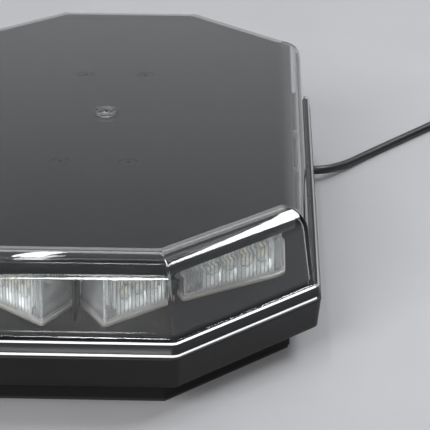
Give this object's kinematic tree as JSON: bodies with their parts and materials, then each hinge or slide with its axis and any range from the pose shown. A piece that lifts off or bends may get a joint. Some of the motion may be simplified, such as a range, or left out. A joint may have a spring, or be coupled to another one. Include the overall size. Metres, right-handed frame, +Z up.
{
  "type": "led warning beacon",
  "caption": "low octagonal LED warning beacon with a clear dome over a black cover plate and a ring of lamp heads, magnetic foot, and a corded 12 V accessory plug with a rocker and button",
  "frame": {"origin": "centre of the rubber pad's underside, under the middle of the lamp body", "axes": "+Z up; the long axis is Y and the short front face looks towards -Y; the cord leaves on +X"},
  "size_m": [0.374, 0.394, 0.0655],
  "materials": {
    "housing_plastic": "fine textured black moulded plastic",
    "pan_plastic": "satin black moulded plastic",
    "rubber": "matte black rubber",
    "clear_dome": "clear polycarbonate, polished",
    "clear_lens": "clear optical acrylic, ribbed",
    "plate_plastic": "glossy black moulded sheet",
    "steel": "zinc plated steel",
    "black_steel": "black oxide steel",
    "magnet": "sintered ferrite",
    "aluminium": "bare aluminium sheet",
    "board_white": "white solder mask on a metal core board",
    "led_phosphor": "LED packages, phosphor yellow",
    "board_green": "green solder mask",
    "chip_black": "moulded semiconductor packages",
    "capacitor_sleeve": "shrunk sleeve",
    "ferrite_grey": "ferrite inductor bodies",
    "terminal_green": "moulded terminal block",
    "connector_white": "moulded nylon",
    "wire_red": "PVC insulated wire",
    "cord_black": "black PVC jacket",
    "plug_plastic": "black moulded plastic",
    "plug_metal": "nickel plated brass",
    "fuse_ceramic": "ceramic fuse tube with metal caps",
    "button_red": "red moulded button"
  },
  "bodies": {
    "beacon": {"base_housing": "housing_plastic", "foot_pan": "pan_plastic", "rubber_pad": "rubber", "magnet_cups": "steel", "magnet_discs": "magnet", "magnet_screws": "steel", "cover_screws": "steel", "vent_plug": "pan_plastic", "dome_gasket": "rubber", "dome": "clear_dome", "dome_screws": "steel", "cover_plate": "plate_plastic", "plate_screws": "black_steel", "plate_posts": "aluminium", "heat_frame": "aluminium", "front_lens_left": "clear_lens", "front_lens_right": "clear_lens", "rear_lens_left": "clear_lens", "rear_lens_right": "clear_lens", "corner_lens_front_left": "clear_lens", "corner_lens_front_right": "clear_lens", "corner_lens_rear_left": "clear_lens", "corner_lens_rear_right": "clear_lens", "left_lens_front": "clear_lens", "left_lens_middle": "clear_lens", "left_lens_rear": "clear_lens", "right_lens_front": "clear_lens", "right_lens_middle": "clear_lens", "right_lens_rear": "clear_lens", "end_led_boards": "board_white", "corner_led_boards": "board_white", "side_led_boards": "board_white", "end_leds": "led_phosphor", "corner_leds": "led_phosphor", "side_leds": "led_phosphor", "frame_screws": "steel", "driver_board": "board_green", "board_standoffs": "steel", "controller_chip": "chip_black", "capacitors": "capacitor_sleeve", "inductors": "ferrite_grey", "power_switches": "chip_black", "terminal_block": "terminal_green", "wire_sockets": "connector_white", "harness": "wire_red", "cord_grommet": "rubber", "strain_relief": "rubber", "supply_cord": "cord_black", "cord_coil": "cord_black", "cord_tie": "plug_plastic", "cord_tail": "cord_black", "plug_relief": "rubber", "plug_handle": "plug_plastic", "plug_barrel": "plug_plastic", "plug_cap": "plug_metal", "plug_fuse": "fuse_ceramic", "plug_side_contacts": "plug_metal"},
    "tip": {"plug_tip": "plug_metal"},
    "rocker": {"plug_rocker": "plug_plastic"},
    "button": {"plug_button": "button_red"}
  },
  "joints": [
    {"name": "tip_press", "type": "slide", "parent": "beacon", "child": "tip", "axis": [0, 1, 0], "range_m": [0, 0.004], "stiffness_N_per_m": 600, "springref_m": -0.002},
    {"name": "rocker_tilt", "type": "hinge", "parent": "beacon", "child": "rocker", "pos_m": [0.258, 0.105, 0.0218], "axis": [1, 0, 0], "range_deg": [-14, 0]},
    {"name": "button_press", "type": "slide", "parent": "beacon", "child": "button", "axis": [0, 0, -1], "range_m": [0, 0.0015], "stiffness_N_per_m": 500, "springref_m": -0.001}
  ]
}
